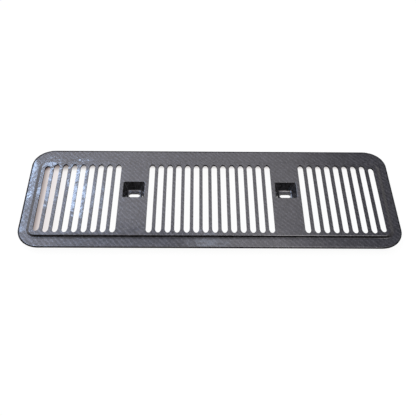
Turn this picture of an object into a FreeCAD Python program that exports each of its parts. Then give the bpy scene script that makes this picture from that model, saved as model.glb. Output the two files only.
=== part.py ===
"""Slotted vent for a car bonnet: one laminate moulding with a raised, slotted panel.

All sizes are in millimetres. X runs across the car, +Y towards the windscreen and +Z out of
the bonnet. The origin is midway between the two fixing slots, on the underside of the
pocket floors, which clamp down on the bonnet's brackets.
"""
import FreeCAD, Part
import math
import os

os.makedirs("parts", exist_ok=True)

# The moulding: a laminate of one thickness all over
laminate = 2.5
overall_length = 500.0
overall_width = 177.0
corner_radius = 30.0
rim_round = 1.2
fixing_line_to_rear_edge = 79.0

# The flange that laps onto the bonnet, measured from the outline to the panel's foot
front_flange = 16.0
rear_flange = 24.5
end_flange = 10.5

# The raised panel: steep walls along its long sides and gentle ramps at its ends
panel_rise = 3.0
side_wall_run = 1.0
end_ramp_run = 5.0
panel_foot_radius = 13.0
panel_top_radius = 9.5
panel_edge_round = 1.5
panel_foot_round = 1.5

# The air slots, cut straight through the panel, each with two long rounded ends
slot_width = 7.8
slot_end_reach = 6.5
slot_tip_radius = 2.7
slot_pitch = 12.35
slot_front_land = 4.5
slot_rear_land = 5.5
slot_end_land = 4.3
end_slot_front_setback = 2.0
end_slot_rear_setback = 4.0

# The two pockets that take the fixings, one in each solid web between the slot groups
fixing_spacing = 207.6
fixing_slot_length = 15.3
fixing_slot_width = 7.8
fixing_slot_land = 1.6
pocket_opening = 29.0
pocket_depth = 12.0
pocket_side_land = 4.9
pocket_rim_round = 0.6
pocket_mouth_corner = 1.5
pocket_floor_corner = 3.0
pocket_floor_round = 2.5

# How far a cutting tool runs past the surface that it cuts
overcut = 1.0

# Heights, from the underside of the pocket floors
pocket_floor_z = laminate
panel_top_z = pocket_floor_z + pocket_depth
panel_underside_z = panel_top_z - laminate
flange_top_z = panel_top_z - panel_rise
flange_underside_z = flange_top_z - laminate

# Outline, panel foot and panel top, each as half length, front edge and rear edge
rear_edge_y = fixing_line_to_rear_edge
front_edge_y = rear_edge_y - overall_width
foot_half_x = overall_length / 2 - end_flange
foot_front_y = front_edge_y + front_flange
foot_rear_y = rear_edge_y - rear_flange
top_half_x = foot_half_x - end_ramp_run
top_front_y = foot_front_y + side_wall_run
top_rear_y = foot_rear_y - side_wall_run

# The air slots' ends and the solid webs that part their groups
slot_front_y = top_front_y + slot_front_land
slot_rear_y = top_rear_y - slot_rear_land
slot_bar = slot_pitch - slot_width
web_half = pocket_opening / 2 + pocket_side_land
pocket_x = fixing_spacing / 2

# The pocket's walls lean out from a floor that is just large enough for its fixing slot
pocket_floor = fixing_slot_length + 2 * fixing_slot_land
pocket_lean = (pocket_opening - pocket_floor) / 2 / pocket_depth

# The flat bevel outside a pocket's floor that lies one laminate off the round inside it
half_bend = (math.pi / 2 + math.atan(pocket_lean)) / 2
bevel_depth = (pocket_floor_round + laminate) * (1 / math.sin(half_bend) - 1)
pocket_cup_chamfer = bevel_depth / math.cos(half_bend)


def vector(x, y, z):
    return FreeCAD.Vector(x, y, z)


def rounded_outline(half_x, front_y, rear_y, radius, z, middle_x=0):
    """A closed rectangle with round corners at height z."""
    right_x = middle_x + half_x - radius
    left_x = middle_x - half_x + radius
    corners = (
        (right_x, rear_y - radius, 0),
        (left_x, rear_y - radius, 90),
        (left_x, front_y + radius, 180),
        (right_x, front_y + radius, 270),
    )
    arcs = []
    for centre_x, centre_y, start_angle in corners:
        circle = Part.Circle(vector(centre_x, centre_y, z), vector(0, 0, 1), radius)
        start = math.radians(start_angle)
        arcs.append(Part.Arc(circle, start, start + math.pi / 2))
    edges = []
    for arc, following in zip(arcs, arcs[1:] + arcs[:1]):
        edges.append(arc.toShape())
        edges.append(Part.LineSegment(arc.EndPoint, following.StartPoint).toShape())
    return Part.Wire(edges)


def block_between(lower_wire, upper_wire):
    """The straight-walled solid between two outlines with the same run of edges."""
    return Part.makeLoft([lower_wire, upper_wire], True, True)


def slot_end(middle_x, shoulder_y, z, start_angle):
    """A slot's oval end: a round tip between two long arcs that run on from the slot's sides."""
    half = slot_width / 2
    tip_y = slot_end_reach - slot_tip_radius
    side_radius = (tip_y ** 2 + half ** 2 - slot_tip_radius ** 2) / (slot_width - 2 * slot_tip_radius)
    side_turn = math.atan2(tip_y, side_radius - half)
    tip_turn = math.pi - 2 * side_turn
    way = math.cos(start_angle)
    arcs = []
    for centre_x, centre_y, radius, turn in (
        (half - side_radius, 0, side_radius, side_turn),
        (0, tip_y, slot_tip_radius, tip_turn),
        (side_radius - half, 0, side_radius, side_turn),
    ):
        centre = vector(middle_x + way * centre_x, shoulder_y + way * centre_y, z)
        circle = Part.Circle(centre, vector(0, 0, 1), radius)
        arcs.append(Part.Arc(circle, start_angle, start_angle + turn))
        start_angle += turn
    return arcs


def slot_outline(middle_x, front_y, rear_y, z):
    """An air slot's outline along Y, with an oval end at the front and at the rear."""
    rear_end = slot_end(middle_x, rear_y - slot_end_reach, z, 0)
    front_end = slot_end(middle_x, front_y + slot_end_reach, z, math.pi)
    left_side = Part.LineSegment(rear_end[-1].EndPoint, front_end[0].StartPoint)
    right_side = Part.LineSegment(front_end[-1].EndPoint, rear_end[0].StartPoint)
    return Part.Wire([curve.toShape() for curve in (*rear_end, left_side, *front_end, right_side)])


def edges_in_plane(shape, z, half_x, front_y, rear_y):
    """The edges of a shape that lie at height z inside a rectangle."""
    tolerance = 0.01
    found = []
    for edge in shape.Edges:
        box = edge.BoundBox
        level = abs(box.ZMin - z) < tolerance and abs(box.ZMax - z) < tolerance
        inside_x = max(abs(box.XMin), abs(box.XMax)) < half_x + tolerance
        inside_y = box.YMin > front_y - tolerance and box.YMax < rear_y + tolerance
        if level and inside_x and inside_y:
            found.append(edge)
    return found


def flange_plate():
    """The flat plate of the flange, with its upper outer edge rounded."""
    outline = rounded_outline(
        overall_length / 2, front_edge_y, rear_edge_y, corner_radius, flange_underside_z
    )
    plate = Part.Face(outline).extrude(vector(0, 0, laminate))
    rim = edges_in_plane(plate, flange_top_z, overall_length / 2, front_edge_y, rear_edge_y)
    return plate.makeFillet(rim_round, rim)


def raised_block():
    """The outer form of the panel, above the flange, with its upper edge rounded."""
    foot = rounded_outline(foot_half_x, foot_front_y, foot_rear_y, panel_foot_radius, flange_top_z)
    top = rounded_outline(top_half_x, top_front_y, top_rear_y, panel_top_radius, panel_top_z)
    block = block_between(foot, top)
    upper = edges_in_plane(block, panel_top_z, top_half_x, top_front_y, top_rear_y)
    return block.makeFillet(panel_edge_round, upper)


def underside_inset(run):
    """How far a wall's two bends move in on the underside, so that the wall stays even."""
    return laminate * math.tan(math.atan2(panel_rise, run) / 2)


def underside_recess():
    """The hollow behind the raised panel, which keeps the laminate at one thickness."""
    end_inset = underside_inset(end_ramp_run)
    side_inset = underside_inset(side_wall_run)
    foot = rounded_outline(
        foot_half_x - end_inset,
        foot_front_y + side_inset,
        foot_rear_y - side_inset,
        panel_foot_radius - side_inset,
        flange_underside_z,
    )
    top = rounded_outline(
        top_half_x - end_inset,
        top_front_y + side_inset,
        top_rear_y - side_inset,
        panel_top_radius - side_inset,
        panel_underside_z,
    )
    return block_between(foot, top)


def panel_skin():
    """Flange and raised panel as one even skin, before anything is cut through it."""
    outer = flange_plate().fuse(raised_block()).removeSplitter()
    foot = edges_in_plane(outer, flange_top_z, foot_half_x, foot_front_y, foot_rear_y)
    outer = outer.makeFillet(panel_foot_round, foot)
    return outer.cut(underside_recess())


def leaning_box(middle_x, floor_half, floor_z, floor_corner, top_z, top_corner):
    """A square block that widens upwards at the pocket's lean, and the edges of its floor."""
    top_half = floor_half + (top_z - floor_z) * pocket_lean
    floor = rounded_outline(floor_half, -floor_half, floor_half, floor_corner, floor_z, middle_x)
    top = rounded_outline(top_half, -top_half, top_half, top_corner, top_z, middle_x)
    block = block_between(floor, top)
    lower = [edge for edge in block.Edges if edge.BoundBox.ZMax < (floor_z + top_z) / 2]
    return block, lower


def pocket_cup(middle_x):
    """The outside of a pocket, one laminate thickness outside its hollow."""
    lean_angle = math.atan(pocket_lean)
    wall_inset = laminate * (1 - math.sin(lean_angle)) / math.cos(lean_angle)
    cup, lower = leaning_box(
        middle_x,
        pocket_floor / 2 + wall_inset,
        0,
        pocket_floor_corner + laminate,
        panel_underside_z + laminate / 2,
        pocket_mouth_corner + laminate,
    )
    return cup.makeChamfer(pocket_cup_chamfer, lower)


def pocket_hollow(middle_x):
    """The space inside a pocket, run out past the panel's face."""
    hollow, lower = leaning_box(
        middle_x,
        pocket_floor / 2,
        pocket_floor_z,
        pocket_floor_corner,
        panel_top_z + overcut,
        pocket_mouth_corner,
    )
    return hollow.makeFillet(pocket_floor_round, lower)


def fixing_slot(centre_x):
    """The obround hole through a pocket's floor, long way across the car."""
    radius = fixing_slot_width / 2
    reach = fixing_slot_length / 2 - radius
    height = laminate + 2 * overcut
    hole = Part.makeBox(
        2 * reach, fixing_slot_width, height, vector(centre_x - reach, -radius, -overcut)
    )
    for end_x in (centre_x - reach, centre_x + reach):
        hole = hole.fuse(Part.makeCylinder(radius, height, vector(end_x, 0, -overcut)))
    return hole.removeSplitter()


def slot_row(from_x, to_x):
    """Centres of the slots that fit between two lands at the slot pitch, centred there."""
    rounding = 0.001
    count = int((to_x - from_x + slot_bar) / slot_pitch + rounding)
    middle = (from_x + to_x) / 2
    return [middle + (i - (count - 1) / 2) * slot_pitch for i in range(count)]


def air_slot(centre_x, front_y, rear_y):
    """One slot's cutter, straight through the panel."""
    outline = slot_outline(centre_x, front_y, rear_y, panel_underside_z - overcut)
    return Part.Face(outline).extrude(vector(0, 0, laminate + 2 * overcut))


def air_slots():
    """All the slots: a middle group between the webs and a group outside each web."""
    outer_x = top_half_x - slot_end_land
    side_row = slot_row(pocket_x + web_half, outer_x)
    middle_row = slot_row(-pocket_x + web_half, pocket_x - web_half)
    last_x = max(side_row)
    cutters = []
    for x in middle_row + side_row + [-x for x in side_row]:
        front_y = slot_front_y
        rear_y = slot_rear_y
        if abs(x) == last_x:
            front_y = slot_front_y + end_slot_front_setback
            rear_y = slot_rear_y - end_slot_rear_setback
        cutters.append(air_slot(x, front_y, rear_y))
    return Part.makeCompound(cutters)


def pocket_mouth(shape, centre_x):
    """The edges round a pocket's opening in the panel's face."""
    reach = pocket_opening / 2 + overcut
    found = []
    for edge in edges_in_plane(shape, panel_top_z, top_half_x, -reach, reach):
        if abs(edge.CenterOfMass.x - centre_x) < reach:
            found.append(edge)
    return found


def bonnet_vent():
    """The whole moulding."""
    vent = panel_skin()
    pockets = (-pocket_x, pocket_x)
    for x in pockets:
        vent = vent.fuse(pocket_cup(x))
    for x in pockets:
        vent = vent.cut(pocket_hollow(x)).cut(fixing_slot(x))
    vent = vent.removeSplitter()
    for x in pockets:
        vent = vent.makeFillet(pocket_rim_round, pocket_mouth(vent, x))
    return vent.cut(air_slots())


moulding = bonnet_vent().Solids[0]
print("valid", moulding.isValid(), "volume in cm3", round(moulding.Volume / 1000, 2))
print("centre of mass", [round(value, 2) for value in moulding.CenterOfMass])
moulding.exportStep("parts/bonnet_vent.step")
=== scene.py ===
"""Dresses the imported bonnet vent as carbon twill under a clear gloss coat, on a white table."""
import math

import bpy
from bpy.props import FloatProperty, FloatVectorProperty, PointerProperty
from mathutils import Matrix, Vector


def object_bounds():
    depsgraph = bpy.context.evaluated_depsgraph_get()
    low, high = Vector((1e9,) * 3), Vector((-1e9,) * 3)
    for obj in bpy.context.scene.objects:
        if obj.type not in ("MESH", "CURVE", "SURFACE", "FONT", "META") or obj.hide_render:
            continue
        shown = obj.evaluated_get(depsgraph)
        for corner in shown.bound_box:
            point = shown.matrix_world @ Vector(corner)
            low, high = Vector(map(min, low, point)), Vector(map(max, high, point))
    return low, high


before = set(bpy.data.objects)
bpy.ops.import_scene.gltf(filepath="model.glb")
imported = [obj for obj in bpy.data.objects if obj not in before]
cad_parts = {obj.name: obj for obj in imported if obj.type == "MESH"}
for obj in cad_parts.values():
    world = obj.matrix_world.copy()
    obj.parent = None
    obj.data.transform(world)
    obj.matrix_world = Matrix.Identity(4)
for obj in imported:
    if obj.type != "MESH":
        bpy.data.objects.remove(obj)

cad_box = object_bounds()

bl_info = {
    "name": "Bonnet vent finish",
    "version": (1, 0, 0),
    "blender": (4, 5, 0),
    "location": "3D View > Sidebar > Bonnet vent",
    "description": "Clear-coated carbon twill for a bonnet vent, and the studio it is shown in",
    "category": "Material",
}

MM = 0.001
MOULDING = "bonnet_vent"

# Sizes of the moulding that its finish and the paper's shade follow
CORNER_RADIUS = 30 * MM
FRONT_FLANGE_WIDTH = 16 * MM
PANEL_RISE = 3 * MM
POCKET_X = 103.8 * MM
POCKET_HALF_OPENING = 14.5 * MM

# Share of what the camera and the gloss see of the paper that is pure white: the rest is paper
# in the room's light, which keeps the vent's shadow
PAPER_WHITE_SHARE = 0.955

# A Mix node has its own A, B and result for each type of data, told apart only by number
VECTOR_A, VECTOR_B, VECTOR_RESULT = 4, 5, 1
COLOUR_A, COLOUR_B, COLOUR_RESULT = 6, 7, 2

# The room is painted by where the gloss mirrors it to the camera: all places are in mm on the
# plane of the panel's face, where a place inside the outline shows at that spot of the vent.

# Brightness of the plain room from left to right: place across, brightness
ROOM_BRIGHTNESS = (
    (-400, 1.90), (-120, 1.88), (-75, 1.72), (-35, 1.50), (40, 1.50),
    (110, 1.34), (150, 0.74), (215, 0.22), (300, 0.12),
)

# Soft-edged lights: name, left, right, front and rear edges, how soft those are, brightness.
# The windows are blue and broken up by leaves, and the lights on the walls are plain. Where the
# brightness is below zero, it is a shade.
WINDOW_LIGHTS = (
    ("window", -1300, -290, -300, 320, 60, 3.6),
    ("window_corner", -300, -245.5, -10, 56, 8, 14.5),
    ("window_foot", -300, -245, -84, -10, 10, 5.6),
    ("window_bend", -231, -211, 4, 46, 5, 8.0),
    ("window_chip", -236, -205, -22, 0, 6, 6.0),
    ("window_glint", -187, -173, -46, 38, 6, 11.0),
    ("window_fade", -174, -150, -30, 12, 12, 4.0),
    ("window_spill", -300, -130, -84, 50, 40, 0.8),
    ("skylight_end", -420, -180, -600, -200, 60, 10.0),
    ("table_glint", -24, 22, -99, -84, 10, 1.5),
)
WALL_LIGHTS = (
    ("far_wall", 700, 15000, -3000, 15000, 300, 0.35),
    ("ceiling", 0, 420, -1000, -400, 160, 2.8),
    ("ceiling_lamp", 50, 115, -1200, -680, 24, 4.0),
    ("panel_glow", -170, 170, -62, 50, 50, 0.12),
    ("table_light", -22, 100, -104, -76, 16, 0.60),
    ("table_shade", -185, -30, -108, -74, 56, -1.45),
    ("table_dusk", 130, 300, -110, -70, 60, -0.12),
)


def linear(hex_colour):
    """An sRGB hex colour as linear red, green and blue."""
    shares = [int(hex_colour[i:i + 2], 16) / 255 for i in (1, 3, 5)]
    return [s / 12.92 if s <= 0.04045 else ((s + 0.055) / 1.055) ** 2.4 for s in shares]


def opaque(colour):
    """A linear colour with full alpha, as colour sockets want it."""
    return (*colour, 1.0)


def add_node(tree, kind, inputs=None, **settings):
    """Adds a node with its settings; an input takes a value, a socket or a node's first output."""
    node = tree.nodes.new(kind)
    for name, value in settings.items():
        setattr(node, name, value)
    for key, value in (inputs or {}).items():
        if isinstance(value, bpy.types.Node):
            value = value.outputs[0]
        if isinstance(value, bpy.types.NodeSocket):
            tree.links.new(value, node.inputs[key])
        else:
            node.inputs[key].default_value = value
    return node


def new_material(name):
    """An empty node material and its node tree."""
    material = bpy.data.materials.new(name)
    material.use_nodes = True
    material.node_tree.nodes.clear()
    return material, material.node_tree


class VentFinish(bpy.types.PropertyGroup):
    """Sizes and colours of the moulding's finish."""

    warp_pitch: FloatProperty(
        name="Warp pitch",
        description="Spacing of the flat fibre bundles that run fore and aft",
        default=1.75 * MM, min=0.5 * MM, max=6 * MM, unit="LENGTH", precision=5,
    )
    weft_pitch: FloatProperty(
        name="Weft pitch",
        description="Spacing of the flat fibre bundles that run across the car",
        default=2.0 * MM, min=0.5 * MM, max=6 * MM, unit="LENGTH", precision=5,
    )
    # The warp is lighter than the weft: a painted sheen, as tows running two ways catch light
    # differently
    warp_colour: FloatVectorProperty(
        name="Warp", description="Tows that run fore and aft",
        subtype="COLOR", size=3, min=0, max=1, default=linear("#424145"),
    )
    weft_colour: FloatVectorProperty(
        name="Weft", description="Tows that run across the car",
        subtype="COLOR", size=3, min=0, max=1, default=linear("#363538"),
    )
    # Also the colour of the painted shade on the front wall, its foot, the pocket walls and the rim
    resin_and_shade_colour: FloatVectorProperty(
        name="Resin", description="Dark resin between the tows and on the cut edges",
        subtype="COLOR", size=3, min=0, max=1, default=linear("#1f1e20"),
    )
    coat_ripple: FloatProperty(
        name="Coat ripple",
        description="Depth of the slow ripple in the hand-polished clear coat",
        default=0.12 * MM, min=0, max=3 * MM, unit="LENGTH", precision=5,
    )


class VentStudio(bpy.types.PropertyGroup):
    """The table, the room and the camera."""

    table_size: FloatProperty(
        name="Table", description="Side of the square table top",
        default=8.0, min=1.0, max=50.0, unit="LENGTH",
    )
    table_colour: FloatVectorProperty(
        name="Table colour", description="White paper that the vent lies on",
        subtype="COLOR", size=3, min=0, max=1, default=linear("#f4f2f0"),
    )
    # Painted shade on the paper under the vent's left end and below the slots' far ends
    shade_colour: FloatVectorProperty(
        name="Shade colour", description="Paper in the shade under the vent's left end",
        subtype="COLOR", size=3, min=0, max=1, default=linear("#67544f"),
    )
    # Painted shade: a light warm shade on the paper seen through the slots at the left end
    warm_shade_colour: FloatVectorProperty(
        name="Blush colour",
        description="Warm tint of the paper seen through the slots at the left end",
        subtype="COLOR", size=3, min=0, max=1, default=linear("#e4dbda"),
    )
    room_glow: FloatProperty(
        name="Room glow", description="Brightness of the plain room, as a share of its own",
        default=1.0, min=0, max=10,
    )
    window_glow: FloatProperty(
        name="Window glow", description="Brightness of the windows, as a share of their own",
        default=1.0, min=0, max=10,
    )
    wall_colour: FloatVectorProperty(
        name="Wall colour", description="Off-white of the plain room",
        subtype="COLOR", size=3, min=0, max=1, default=linear("#fcf8f8"),
    )
    window_colour: FloatVectorProperty(
        name="Window colour", description="Daylight in the windows",
        subtype="COLOR", size=3, min=0, max=1, default=linear("#bcd8ff"),
    )
    elevation: FloatProperty(
        name="Elevation", description="How far the camera looks down",
        default=math.radians(48), min=0, max=math.pi / 2, subtype="ANGLE",
    )
    camera_distance: FloatProperty(
        name="Distance", description="From the camera to the point that it looks at",
        default=957.4 * MM, min=0.1, max=10, unit="LENGTH",
    )
    lens: FloatProperty(
        name="Lens", description="Focal length on a 36 mm wide sensor, in millimetres",
        default=61.75, min=10, max=300,
    )


def soft_span(tree, value, low, high, soft):
    """1 between two edges and 0 outside them, with soft edges."""
    rise = add_node(
        tree, "ShaderNodeMapRange",
        {"Value": value, "From Min": low - soft / 2, "From Max": low + soft / 2},
        interpolation_type="SMOOTHSTEP",
    )
    fall = add_node(
        tree, "ShaderNodeMapRange",
        {"Value": value, "From Min": high + soft / 2, "From Max": high - soft / 2},
        interpolation_type="SMOOTHSTEP",
    )
    return add_node(tree, "ShaderNodeMath", {0: rise, 1: fall}, operation="MULTIPLY")


def cloth_axes(tree):
    """A point's place on the moulding and in the cloth, the ways of weft and warp, and how far
    the surface faces up.

    The cloth lies flat on the face, and it is laid up each wall from that wall's foot. It wavers
    by a few millimetres, as hand-laid cloth does."""
    position = add_node(tree, "ShaderNodeTexCoord").outputs["Object"]
    spot = add_node(tree, "ShaderNodeSeparateXYZ", {0: position})
    facing = add_node(tree, "ShaderNodeNewGeometry").outputs["True Normal"]
    turn = add_node(tree, "ShaderNodeVectorMath", {0: facing}, operation="ABSOLUTE")
    turn = add_node(tree, "ShaderNodeSeparateXYZ", {0: turn})
    lies_flat = add_node(
        tree, "ShaderNodeMath", {0: turn.outputs["Z"], 1: 0.6}, operation="GREATER_THAN"
    )
    end_wall = add_node(
        tree, "ShaderNodeMath", {0: turn.outputs["X"], 1: turn.outputs["Y"]},
        operation="GREATER_THAN",
    )
    not_flat = add_node(tree, "ShaderNodeMath", {0: 1.0, 1: lies_flat}, operation="SUBTRACT")
    end_wall = add_node(tree, "ShaderNodeMath", {0: end_wall, 1: not_flat}, operation="MULTIPLY")
    along_weft = add_node(
        tree, "ShaderNodeMix",
        {"Factor": end_wall, "A": spot.outputs["X"], "B": spot.outputs["Y"]}, data_type="FLOAT",
    )
    along_warp = add_node(
        tree, "ShaderNodeMix",
        {"Factor": lies_flat, "A": spot.outputs["Z"], "B": spot.outputs["Y"]}, data_type="FLOAT",
    )
    cloth = add_node(tree, "ShaderNodeCombineXYZ", {"X": along_weft, "Y": along_warp})
    waver_length, waver_depth = 18 * MM, 3 * MM
    waver = add_node(
        tree, "ShaderNodeTexNoise", {"Vector": position, "Scale": 1 / waver_length, "Detail": 1.0}
    )
    cloth = add_node(
        tree, "ShaderNodeVectorMath",
        {0: waver.outputs["Color"], 1: (waver_depth, waver_depth, 0), 2: cloth},
        operation="MULTIPLY_ADD",
    )
    weft_way = add_node(
        tree, "ShaderNodeMix", {"Factor": end_wall, VECTOR_A: (1, 0, 0), VECTOR_B: (0, 1, 0)},
        data_type="VECTOR",
    ).outputs[VECTOR_RESULT]
    warp_way = add_node(
        tree, "ShaderNodeMix", {"Factor": lies_flat, VECTOR_A: (0, 0, 1), VECTOR_B: (0, 1, 0)},
        data_type="VECTOR",
    ).outputs[VECTOR_RESULT]
    return position, cloth, weft_way, warp_way, turn.outputs["Z"]


def outline_distance(tree, position, shift=(0, 0, 0), end_inset=0):
    """How far a point is inside the moulding's outline, moved and shortened, in metres."""
    low, high = cad_box
    middle = (low + high) / 2 + Vector(shift)
    half = (high - low) / 2 - Vector((end_inset, 0, 0))
    from_middle = add_node(
        tree, "ShaderNodeVectorMath", {0: position, 1: middle}, operation="SUBTRACT"
    )
    mirrored = add_node(tree, "ShaderNodeVectorMath", {0: from_middle}, operation="ABSOLUTE")
    any_height = 10.0  # metres: more than any point's, so height never counts
    past_corner = add_node(
        tree, "ShaderNodeVectorMath",
        {0: mirrored, 1: (half.x - CORNER_RADIUS, half.y - CORNER_RADIUS, any_height)},
        operation="SUBTRACT",
    )
    outside = add_node(
        tree, "ShaderNodeVectorMath", {0: past_corner, 1: (0, 0, 0)}, operation="MAXIMUM"
    )
    outside = add_node(tree, "ShaderNodeVectorMath", {0: outside}, operation="LENGTH")
    return add_node(
        tree, "ShaderNodeMath", {0: CORNER_RADIUS, 1: outside.outputs["Value"]},
        operation="SUBTRACT",
    )


def in_pocket(tree, position):
    """1 inside either fixing pocket and 0 elsewhere."""
    left, right, soft = POCKET_X - POCKET_HALF_OPENING, POCKET_X + POCKET_HALF_OPENING, 0.5 * MM
    mirrored = add_node(tree, "ShaderNodeVectorMath", {0: position}, operation="ABSOLUTE")
    spot = add_node(tree, "ShaderNodeSeparateXYZ", {0: mirrored})
    wide = soft_span(tree, spot.outputs["X"], left, right, soft)
    deep = soft_span(
        tree, spot.outputs["Y"], -POCKET_HALF_OPENING, POCKET_HALF_OPENING, soft
    )
    return add_node(tree, "ShaderNodeMath", {0: wide, 1: deep}, operation="MULTIPLY")


def front_wall_foot_shade(tree, position):
    """Painted shade: 1 on the flange along the foot of the raised panel's front wall, fading
    forwards.
    """
    low, high = cad_box
    wall_y = low.y + FRONT_FLANGE_WIDTH
    front, back, fade = wall_y - 2.5 * MM, wall_y + 2 * MM, 5 * MM
    left, right, end_fade = low.x + 20 * MM, high.x - 32 * MM, 14 * MM
    just_above_flange = high.z - PANEL_RISE + 1 * MM
    spot = add_node(tree, "ShaderNodeSeparateXYZ", {0: position})
    deep = soft_span(tree, spot.outputs["Y"], front, back, fade)
    wide = soft_span(tree, spot.outputs["X"], left, right, end_fade)
    on_flange = add_node(
        tree, "ShaderNodeMath", {0: spot.outputs["Z"], 1: just_above_flange},
        operation="LESS_THAN",
    )
    foot = add_node(tree, "ShaderNodeMath", {0: deep, 1: wide}, operation="MULTIPLY")
    return add_node(tree, "ShaderNodeMath", {0: foot, 1: on_flange}, operation="MULTIPLY")


def twill_weave(tree, finish, cloth):
    """Where the warp is on top, the number of each crossing, and how high its tow stands.

    Each tow goes over two and under two, one step along per row. It is crowned across, and it
    dips where it goes under at each end."""
    over, repeat = 2.0, 4.0
    tows = add_node(
        tree, "ShaderNodeVectorMath",
        {0: cloth, 1: (1 / finish.warp_pitch, 1 / finish.weft_pitch, 1)}, operation="MULTIPLY",
    )
    crossing = add_node(tree, "ShaderNodeVectorMath", {0: tows}, operation="FLOOR")
    count = add_node(tree, "ShaderNodeSeparateXYZ", {0: crossing})
    inside = add_node(tree, "ShaderNodeVectorMath", {0: tows}, operation="FRACTION")
    inside = add_node(tree, "ShaderNodeSeparateXYZ", {0: inside})
    step = add_node(
        tree, "ShaderNodeMath", {0: count.outputs["X"], 1: count.outputs["Y"]}, operation="ADD"
    )
    step = add_node(tree, "ShaderNodeMath", {0: step, 1: repeat}, operation="FLOORED_MODULO")
    warp_up = add_node(tree, "ShaderNodeMath", {0: step, 1: over - 0.5}, operation="LESS_THAN")

    across = add_node(
        tree, "ShaderNodeMix",
        {"Factor": warp_up, "A": inside.outputs["Y"], "B": inside.outputs["X"]},
        data_type="FLOAT",
    )
    along = add_node(
        tree, "ShaderNodeMix",
        {"Factor": warp_up, "A": inside.outputs["X"], "B": inside.outputs["Y"]},
        data_type="FLOAT",
    )
    passed = add_node(tree, "ShaderNodeMath", {0: step, 1: over}, operation="FLOORED_MODULO")
    along = add_node(tree, "ShaderNodeMath", {0: passed, 1: along}, operation="ADD")
    crown = add_node(tree, "ShaderNodeMath", {0: across, 1: math.pi}, operation="MULTIPLY")
    crown = add_node(tree, "ShaderNodeMath", {0: crown}, operation="SINE")
    bow = add_node(tree, "ShaderNodeMath", {0: along, 1: math.pi / over}, operation="MULTIPLY")
    bow = add_node(tree, "ShaderNodeMath", {0: bow}, operation="SINE")
    tow_height = add_node(tree, "ShaderNodeMath", {0: crown, 1: bow}, operation="MULTIPLY")
    return warp_up, crossing, tow_height


def tow_fibres(tree, cloth, warp_up):
    """Streaks along each tow, for fibres far finer than a pixel: drawn 0.25 mm wide to show."""
    width, length = 0.25 * MM, 12 * MM
    streaks = []
    for across_car, fore_and_aft in ((length, width), (width, length)):
        stretched = add_node(
            tree, "ShaderNodeVectorMath", {0: cloth, 1: (1 / across_car, 1 / fore_and_aft, 1)},
            operation="MULTIPLY",
        )
        streaks.append(add_node(tree, "ShaderNodeTexNoise", {"Vector": stretched, "Scale": 1.0}))
    return add_node(
        tree, "ShaderNodeMix",
        {"Factor": warp_up, "A": streaks[0], "B": streaks[1]}, data_type="FLOAT",
    )


def cloth_colour(tree, finish, cloth, warp_up, crossing, tow_height):
    """The tows' colours, the warp painted lighter than the weft as sheen, with dark resin between
    them.

    Each crossing is a little lighter or darker than its neighbours, and so is each patch."""
    fibre_gain = add_node(
        tree, "ShaderNodeMapRange",
        {"Value": tow_fibres(tree, cloth, warp_up), "From Min": 0.3, "From Max": 0.7,
         "To Min": 0.85, "To Max": 1.15},
    )
    patch = add_node(
        tree, "ShaderNodeTexNoise", {"Vector": cloth, "Scale": 1 / (14 * MM), "Detail": 2.0}
    )
    patch_gain = add_node(
        tree, "ShaderNodeMapRange",
        {"Value": patch, "From Min": 0.3, "From Max": 0.7, "To Min": 0.9, "To Max": 1.1},
    )
    crossing_shade = add_node(
        tree, "ShaderNodeTexWhiteNoise", {"Vector": crossing}, noise_dimensions="2D"
    )
    crossing_gain = add_node(
        tree, "ShaderNodeMapRange", {"Value": crossing_shade, "To Min": 0.7, "To Max": 1.3}
    )
    gain = add_node(tree, "ShaderNodeMath", {0: fibre_gain, 1: patch_gain}, operation="MULTIPLY")
    gain = add_node(tree, "ShaderNodeMath", {0: gain, 1: crossing_gain}, operation="MULTIPLY")
    # Painted sheen: the warp is painted lighter than the weft
    tow_colour = add_node(
        tree, "ShaderNodeMix",
        {"Factor": warp_up, COLOUR_A: opaque(finish.weft_colour),
         COLOUR_B: opaque(finish.warp_colour)},
        data_type="RGBA",
    )
    tow_colour = add_node(
        tree, "ShaderNodeVectorMath",
        {0: tow_colour.outputs[COLOUR_RESULT], "Scale": gain.outputs[0]}, operation="SCALE",
    )
    off_the_edge = add_node(
        tree, "ShaderNodeMapRange",
        {"Value": tow_height, "From Min": 0.0, "From Max": 0.2, "To Min": 0.2, "To Max": 1.0},
    )
    colour = add_node(
        tree, "ShaderNodeMix",
        {"Factor": off_the_edge, COLOUR_A: opaque(finish.resin_and_shade_colour), COLOUR_B: tow_colour},
        data_type="RGBA",
    )
    return colour.outputs[COLOUR_RESULT]


def bare_resin_and_painted_shade(tree, position, upward):
    """1 where dark resin or painted shade hides the cloth: steep walls, sanded rim, front wall's
    foot.
    """
    # Resin on the slots' cut edges; the same dark on the front wall and pocket walls is painted
    # shade
    steep = add_node(
        tree, "ShaderNodeMapRange",
        {"Value": upward, "From Min": 0.62, "From Max": 0.45}, interpolation_type="SMOOTHSTEP",
    )
    # The rim is sanded dark all round; moved behind and shortened at the ends, it widens into
    # painted shade
    painted_shade_wider_behind, painted_shade_wider_at_ends = (0, -1.1 * MM, 0), 0.6 * MM
    rim = add_node(
        tree, "ShaderNodeMapRange",
        {"Value": outline_distance(tree, position, painted_shade_wider_behind, painted_shade_wider_at_ends),
         "From Min": 1.7 * MM, "From Max": 1.3 * MM},
        interpolation_type="SMOOTHSTEP",
    )
    bare_or_shaded = add_node(tree, "ShaderNodeMath", {0: steep, 1: rim}, operation="MAXIMUM")
    return add_node(
        tree, "ShaderNodeMath", {0: front_wall_foot_shade(tree, position), 1: 0.6, 2: bare_or_shaded},
        operation="MULTIPLY_ADD", use_clamp=True,
    )


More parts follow.
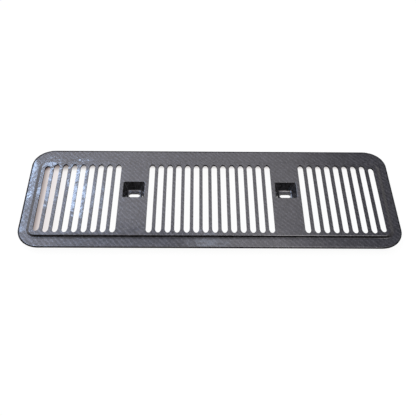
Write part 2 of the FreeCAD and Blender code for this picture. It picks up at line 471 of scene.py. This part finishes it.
def pooled_resin_and_shade(tree, finish, position):
    """The resin's and painted shade's colour, lighter and darker where the resin pooled before it
    set.
    """
    pools = add_node(
        tree, "ShaderNodeTexNoise", {"Vector": position, "Scale": 1 / (4 * MM), "Detail": 2.0}
    )
    pools = add_node(
        tree, "ShaderNodeMapRange",
        {"Value": pools, "From Min": 0.35, "From Max": 0.65, "To Min": 0.3, "To Max": 1.9},
    )
    return add_node(
        tree, "ShaderNodeVectorMath", {0: list(finish.resin_and_shade_colour), "Scale": pools.outputs[0]},
        operation="SCALE",
    )


def carbon_twill(finish):
    """Carbon twill, two over two under, wet-laid in a mould and sprayed with clear gloss coat.

    The eye gets fine slanting stripes from tows that catch the light in turn, partly a painted
    sheen, deep grey under a glassy skin with the slow ripple of hand polishing, and dull dark resin
    and painted shade on steep walls."""
    material, tree = new_material("carbon_twill_clear_coated")
    position, cloth, weft_way, warp_way, upward = cloth_axes(tree)
    warp_up, crossing, tow_height = twill_weave(tree, finish, cloth)
    bare_or_shaded = bare_resin_and_painted_shade(tree, position, upward)
    colour = add_node(
        tree, "ShaderNodeMix",
        {"Factor": bare_or_shaded,
         COLOUR_A: cloth_colour(tree, finish, cloth, warp_up, crossing, tow_height),
         COLOUR_B: pooled_resin_and_shade(tree, finish, position)},
        data_type="RGBA",
    )
    roughness = add_node(
        tree, "ShaderNodeMapRange", {"Value": bare_or_shaded, "To Min": 0.42, "To Max": 0.8}
    )
    metallic = add_node(
        tree, "ShaderNodeMapRange", {"Value": bare_or_shaded, "To Min": 0.75, "To Max": 0.0}
    )

    # Bare resin is dull, but the coat ran into the pockets and covers their walls too
    coat = add_node(tree, "ShaderNodeMath", {0: 1.0, 1: bare_or_shaded}, operation="SUBTRACT")
    coat = add_node(
        tree, "ShaderNodeMath", {0: coat, 1: in_pocket(tree, position)}, operation="MAXIMUM"
    )

    tangent = add_node(
        tree, "ShaderNodeMix", {"Factor": warp_up, VECTOR_A: weft_way, VECTOR_B: warp_way},
        data_type="VECTOR",
    )
    weave_bump = add_node(
        tree, "ShaderNodeBump", {"Height": tow_height, "Distance": 0.03 * MM, "Strength": 1.0}
    )
    ripple = add_node(
        tree, "ShaderNodeTexNoise",
        {"Vector": position, "Scale": 1 / (16 * MM), "Detail": 2.0, "Roughness": 0.5},
    )
    coat_bump = add_node(
        tree, "ShaderNodeBump", {"Height": ripple, "Distance": finish.coat_ripple, "Strength": 1.0}
    )
    skin = add_node(
        tree, "ShaderNodeBsdfPrincipled",
        {
            "Base Color": colour.outputs[COLOUR_RESULT],
            "Metallic": metallic,
            "Roughness": roughness,
            "IOR": 1.5,
            "Specular IOR Level": 0.04,
            "Anisotropic": 0.4,
            "Tangent": tangent.outputs[VECTOR_RESULT],
            "Normal": weave_bump,
            "Coat Weight": coat,
            "Coat Roughness": 0.05,
            "Coat IOR": 1.5,
            "Coat Normal": coat_bump,
        },
    )
    add_node(tree, "ShaderNodeOutputMaterial", {"Surface": skin})
    return material


def below_vent(tree, position, along):
    """1 on the paper well inside the vent's outline and behind its near rim, and 0 elsewhere."""
    near_edge = cad_box[0].y / MM
    well_inside = add_node(
        tree, "ShaderNodeMapRange",
        {"Value": outline_distance(tree, position), "From Min": 8 * MM, "From Max": 14 * MM},
        interpolation_type="SMOOTHSTEP",
    )
    clear_of_rim = add_node(
        tree, "ShaderNodeMapRange",
        {"Value": along, "From Min": near_edge + 12, "From Max": near_edge + 16},
        interpolation_type="SMOOTHSTEP",
    )
    return add_node(
        tree, "ShaderNodeMath", {0: well_inside, 1: clear_of_rim}, operation="MULTIPLY"
    )


def paper_painted_shade(tree, studio):
    """White, but with a warm brown shade painted where little light gets in under the vent.

    That is under its left end and below the slots' far ends, deepest at the left, and a lighter
    warm shade is painted on the paper near the left end. Places are in mm from the edges of the
    vent."""
    position = add_node(tree, "ShaderNodeTexCoord").outputs["Object"]
    spot = add_node(
        tree, "ShaderNodeVectorMath", {0: position, "Scale": 1 / MM}, operation="SCALE"
    )
    spot = add_node(tree, "ShaderNodeSeparateXYZ", {0: spot})
    across, along = spot.outputs["X"], spot.outputs["Y"]
    low, high = (corner / MM for corner in cad_box)
    covered = below_vent(tree, position, along)

    left_from, left_full, left_depth = low.x + 24.5, low.x + 15, 0.72
    near, far, soft = low.y + 22, high.y - 12, 12
    left_end = add_node(
        tree, "ShaderNodeMapRange",
        {"Value": across, "From Min": left_from, "From Max": left_full, "To Max": left_depth},
        interpolation_type="SMOOTHSTEP",
    )
    between_ends = soft_span(tree, along, near, far, soft)
    left_shade = add_node(
        tree, "ShaderNodeMath", {0: left_end, 1: between_ends}, operation="MULTIPLY"
    )

    grows_from, grown = low.x + 100, low.x + 44
    narrow_from, wide_from, far_full = high.y - 26, high.y - 33, high.y - 18
    light_depth, full_depth = 0.55, 0.9
    far_from = add_node(
        tree, "ShaderNodeMapRange",
        {"Value": across, "From Min": grows_from, "From Max": grown,
         "To Min": narrow_from, "To Max": wide_from},
    )
    far_depth = add_node(
        tree, "ShaderNodeMapRange",
        {"Value": across, "From Min": grows_from, "From Max": grown,
         "To Min": light_depth, "To Max": full_depth},
    )
    far_shade = add_node(
        tree, "ShaderNodeMapRange",
        {"Value": along, "From Min": far_from, "From Max": far_full, "To Max": far_depth},
        interpolation_type="SMOOTHSTEP",
    )
    shade = add_node(tree, "ShaderNodeMath", {0: left_shade, 1: far_shade}, operation="ADD")
    shade = add_node(tree, "ShaderNodeMath", {0: shade, 1: covered}, operation="MULTIPLY")

    # A light warm shade painted on the paper towards the left end, under the vent
    warm_shade_from, warm_shade_full = low.x + 52, low.x + 24
    warm_shade = add_node(
        tree, "ShaderNodeMapRange",
        {"Value": across, "From Min": warm_shade_from, "From Max": warm_shade_full},
    )
    warm_shade = add_node(tree, "ShaderNodeMath", {0: warm_shade, 1: covered}, operation="MULTIPLY")
    tint = add_node(
        tree, "ShaderNodeMix",
        {"Factor": warm_shade, COLOUR_A: (1, 1, 1, 1), COLOUR_B: opaque(studio.warm_shade_colour)},
        data_type="RGBA",
    )
    tint = add_node(
        tree, "ShaderNodeMix",
        {"Factor": shade, COLOUR_A: tint.outputs[COLOUR_RESULT],
         COLOUR_B: opaque(studio.shade_colour)},
        data_type="RGBA",
    )
    return tint.outputs[COLOUR_RESULT]


def white_paper(studio):
    """Matt white paper, pressed smooth and lit to white.

    The eye gets a clean white ground that keeps the soft shadow of what lies on it, and a warm
    brown shade painted under the vent."""
    material, tree = new_material("white_paper_pressed")
    sight = add_node(tree, "ShaderNodeLightPath")
    seen = add_node(
        tree, "ShaderNodeMath",
        {0: sight.outputs["Is Camera Ray"], 1: sight.outputs["Is Glossy Ray"]},
        operation="MAXIMUM",
    )
    seen = add_node(
        tree, "ShaderNodeMath", {0: seen, 1: sight.outputs["Is Transmission Ray"]},
        operation="MAXIMUM",
    )
    white_share = add_node(
        tree, "ShaderNodeMath", {0: seen, 1: PAPER_WHITE_SHARE}, operation="MULTIPLY"
    )
    lit_by_room = add_node(
        tree, "ShaderNodeBsdfPrincipled",
        {"Base Color": opaque(studio.table_colour), "Roughness": 0.7, "IOR": 1.45},
    )
    lit_to_white = add_node(
        tree, "ShaderNodeEmission", {"Color": paper_painted_shade(tree, studio), "Strength": 1.0}
    )
    surface = add_node(
        tree, "ShaderNodeMixShader", {0: white_share, 1: lit_by_room, 2: lit_to_white}
    )
    add_node(tree, "ShaderNodeOutputMaterial", {"Surface": surface})
    return material


def build_table(studio):
    """The table top, flat under the pockets' floors."""
    half = studio.table_size / 2
    mesh = bpy.data.meshes.new("table_top")
    corners = [(-half, -half, 0), (half, -half, 0), (half, half, 0), (-half, half, 0)]
    mesh.from_pydata(corners, [], [(0, 1, 2, 3)])
    mesh.materials.append(white_paper(studio))
    table = bpy.data.objects.new("table_top", mesh)
    table.location.z = cad_box[0][2]
    bpy.context.scene.collection.objects.link(table)


def mirror_place(tree, studio, direction, height):
    """Where on the panel's face the camera sees a direction of the room mirrored, in mm."""
    eye = camera_axes(studio)[0]
    eye_height = (eye.z - cad_box[1].z) / MM
    scaled = add_node(
        tree, "ShaderNodeVectorMath", {0: direction, "Scale": eye_height}, operation="SCALE"
    )
    least_rise = 0.05  # keeps the reach finite for level directions
    rise = add_node(tree, "ShaderNodeMath", {0: height, 1: least_rise}, operation="MAXIMUM")
    rise = add_node(tree, "ShaderNodeCombineXYZ", {"X": rise, "Y": rise, "Z": rise})
    reach = add_node(tree, "ShaderNodeVectorMath", {0: scaled, 1: rise}, operation="DIVIDE")
    place = add_node(
        tree, "ShaderNodeVectorMath", {0: reach, 1: (eye.x / MM, eye.y / MM, 0)}, operation="ADD"
    )
    return add_node(tree, "ShaderNodeSeparateXYZ", {0: place})


def soft_lights(tree, place, lights, gain, light_before=0.0):
    """Adds soft-edged lights to the light that is there, and returns the sum."""
    total = light_before
    for _, left, right, front, rear, soft, brightness in lights:
        wide = soft_span(tree, place.outputs["X"], left, right, soft)
        deep = soft_span(tree, place.outputs["Y"], front, rear, soft)
        light = add_node(tree, "ShaderNodeMath", {0: wide, 1: deep}, operation="MULTIPLY")
        total = add_node(
            tree, "ShaderNodeMath", {0: light, 1: brightness * gain, 2: total},
            operation="MULTIPLY_ADD",
        )
    return total


def plain_walls(tree, studio, place, height):
    """Light of the plain room, which dims to the right, far in front and down to the horizon."""
    left, right = ROOM_BRIGHTNESS[0][0], ROOM_BRIGHTNESS[-1][0]
    brightest = max(brightness for _, brightness in ROOM_BRIGHTNESS)
    across = add_node(
        tree, "ShaderNodeMapRange",
        {"Value": place.outputs["X"], "From Min": left, "From Max": right},
    )
    across = add_node(tree, "ShaderNodeValToRGB", {0: across})
    stops = across.color_ramp.elements
    while len(stops) < len(ROOM_BRIGHTNESS):
        stops.new(1.0)
    for stop, (stop_place, brightness) in zip(stops, ROOM_BRIGHTNESS):
        stop.position = (stop_place - left) / (right - left)
        stop.color = opaque([brightness / brightest] * 3)
    overhead = add_node(
        tree, "ShaderNodeMapRange",
        {"Value": place.outputs["Y"], "From Min": -1300, "From Max": -700, "To Min": 0.15},
        interpolation_type="SMOOTHSTEP",
    )
    over_horizon = add_node(
        tree, "ShaderNodeMapRange",
        {"Value": height, "From Min": 0.25, "From Max": 0.45, "To Min": 0.45},
        interpolation_type="SMOOTHSTEP",
    )
    walls = add_node(tree, "ShaderNodeMath", {0: across, 1: overhead}, operation="MULTIPLY")
    walls = add_node(tree, "ShaderNodeMath", {0: walls, 1: over_horizon}, operation="MULTIPLY")
    walls = add_node(
        tree, "ShaderNodeMath", {0: walls, 1: brightest * studio.room_glow}, operation="MULTIPLY"
    )
    walls = soft_lights(tree, place, WALL_LIGHTS, studio.room_glow, walls)
    return add_node(
        tree, "ShaderNodeVectorMath",
        {0: list(studio.wall_colour), "Scale": walls.outputs[0]}, operation="SCALE",
    )


def leafy_windows(tree, studio, place):
    """Daylight of the windows, which leaves outside break into patches."""
    patch_width = 13  # mm, where the gloss shows them
    windows = soft_lights(tree, place, WINDOW_LIGHTS, studio.window_glow)
    flat_place = add_node(
        tree, "ShaderNodeCombineXYZ", {"X": place.outputs["X"], "Y": place.outputs["Y"]}
    )
    leaves = add_node(
        tree, "ShaderNodeTexNoise",
        {"Vector": flat_place, "Scale": 1 / patch_width, "Detail": 3.0, "Roughness": 0.65},
    )
    leaves = add_node(
        tree, "ShaderNodeMapRange",
        {"Value": leaves, "From Min": 0.43, "From Max": 0.57, "To Min": 0.05, "To Max": 2.2},
    )
    windows = add_node(tree, "ShaderNodeMath", {0: windows, 1: leaves}, operation="MULTIPLY")
    return add_node(
        tree, "ShaderNodeVectorMath",
        {0: list(studio.window_colour), "Scale": windows.outputs[0]}, operation="SCALE",
    )


def build_room(studio):
    """A pale room with tall windows to the left, soft lights overhead and a dark right side."""
    world = bpy.data.worlds.new("studio_room")
    world.use_nodes = True
    tree = world.node_tree
    tree.nodes.clear()
    direction = add_node(tree, "ShaderNodeTexCoord").outputs["Generated"]
    height = add_node(tree, "ShaderNodeSeparateXYZ", {0: direction}).outputs["Z"]
    place = mirror_place(tree, studio, direction, height)
    walls = plain_walls(tree, studio, place, height)
    windows = leafy_windows(tree, studio, place)
    colour = add_node(tree, "ShaderNodeVectorMath", {0: walls, 1: windows}, operation="ADD")
    glow = add_node(tree, "ShaderNodeBackground", {"Color": colour, "Strength": 1.0})
    add_node(tree, "ShaderNodeOutputWorld", {"Surface": glow})
    bpy.context.scene.world = world


def camera_axes(studio):
    """The camera's place and the ways to its right, up and ahead, in that order.

    Its aim, swing and roll come from a camera fitted to the outline in the photograph."""
    aim = Vector((-2.87, -28.79, 9.0)) * MM
    swing = math.radians(1.28)
    roll = math.radians(1.197)
    level, drop = math.cos(studio.elevation), math.sin(studio.elevation)
    ahead = Vector((math.sin(swing) * level, math.cos(swing) * level, -drop))
    flat_right = Vector((math.cos(swing), -math.sin(swing), 0))
    flat_up = flat_right.cross(ahead)
    right = math.cos(roll) * flat_right + math.sin(roll) * flat_up
    up = math.cos(roll) * flat_up - math.sin(roll) * flat_right
    return aim - ahead * studio.camera_distance, right, up, ahead


def set_camera(studio):
    """The camera, at the photograph's viewing angle."""
    eye, right, up, ahead = camera_axes(studio)
    view = bpy.data.cameras.new("photo_camera")
    view.sensor_width = 36
    view.lens = studio.lens
    view.clip_start = 10 * MM
    camera = bpy.data.objects.new("photo_camera", view)
    turn = Matrix((right, up, -ahead)).transposed().to_4x4()
    camera.matrix_world = Matrix.Translation(eye) @ turn
    bpy.context.scene.collection.objects.link(camera)
    bpy.context.scene.camera = camera


class VENT_OT_moulding(bpy.types.Operator):
    """Give the moulding its clear-coated carbon twill"""

    bl_idname = "vent.dress_moulding"
    bl_label = "Dress moulding"

    def execute(self, context):
        moulding = bpy.data.objects[MOULDING]
        material = carbon_twill(context.scene.vent_finish)
        for slot in moulding.material_slots:
            slot.material = material
        return {"FINISHED"}


class VENT_OT_studio(bpy.types.Operator):
    """Set up the table, the room and the camera"""

    bl_idname = "vent.set_studio"
    bl_label = "Set studio"

    def execute(self, context):
        studio = context.scene.vent_studio
        build_table(studio)
        build_room(studio)
        set_camera(studio)
        context.scene.view_settings.view_transform = "Standard"
        return {"FINISHED"}


class VENT_PT_sidebar(bpy.types.Panel):
    """Lists the steps and their settings"""

    bl_idname = "VENT_PT_sidebar"
    bl_label = "Bonnet vent"
    bl_space_type = "VIEW_3D"
    bl_region_type = "UI"
    bl_category = "Bonnet vent"

    def draw(self, context):
        finish = context.scene.vent_finish
        studio = context.scene.vent_studio
        layout = self.layout
        layout.operator(VENT_OT_moulding.bl_idname)
        for name in VentFinish.__annotations__:
            layout.prop(finish, name)
        layout.operator(VENT_OT_studio.bl_idname)
        for name in VentStudio.__annotations__:
            layout.prop(studio, name)


CLASSES = (VentFinish, VentStudio, VENT_OT_moulding, VENT_OT_studio, VENT_PT_sidebar)


def register():
    """Adds the classes and the two groups of settings."""
    for cls in CLASSES:
        bpy.utils.register_class(cls)
    bpy.types.Scene.vent_finish = PointerProperty(type=VentFinish)
    bpy.types.Scene.vent_studio = PointerProperty(type=VentStudio)


def unregister():
    """Takes the settings and the classes away again."""
    del bpy.types.Scene.vent_studio
    del bpy.types.Scene.vent_finish
    for cls in reversed(CLASSES):
        bpy.utils.unregister_class(cls)


def main():
    """Registers the classes and runs each step."""
    register()
    bpy.ops.vent.dress_moulding()
    bpy.ops.vent.set_studio()


if __name__ == "__main__":
    main()
